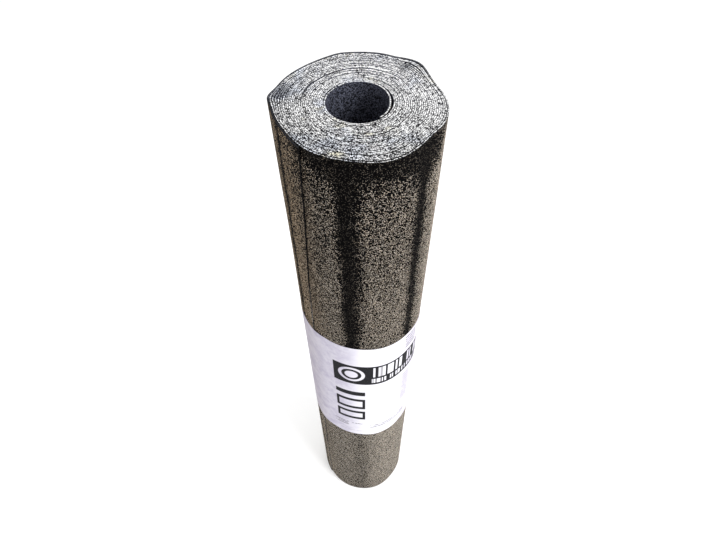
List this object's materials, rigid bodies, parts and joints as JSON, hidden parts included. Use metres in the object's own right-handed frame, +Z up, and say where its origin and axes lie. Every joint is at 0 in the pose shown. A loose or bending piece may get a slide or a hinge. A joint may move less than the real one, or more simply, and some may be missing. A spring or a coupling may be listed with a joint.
{
  "type": "roll of roofing felt",
  "caption": "Tall upright roll of sanded bitumen roofing felt, wound round an open bore, with a plain paper band round its middle.",
  "frame": {"origin": "on the axis of the bore, at the bottom end face that the roll stands on", "axes": "+Z up along the bore, which is the width of the sheet; -Y towards the side where the sheet's outer end shows"},
  "size_m": [0.1801, 0.1788, 1],
  "materials": {
    "felt": "black bitumen felt dusted with pale brown-grey sand",
    "paper": "smooth white printed paper"
  },
  "bodies": {
    "root": {"felt_roll": "felt", "paper_band": "paper"}
  },
  "joints": []
}
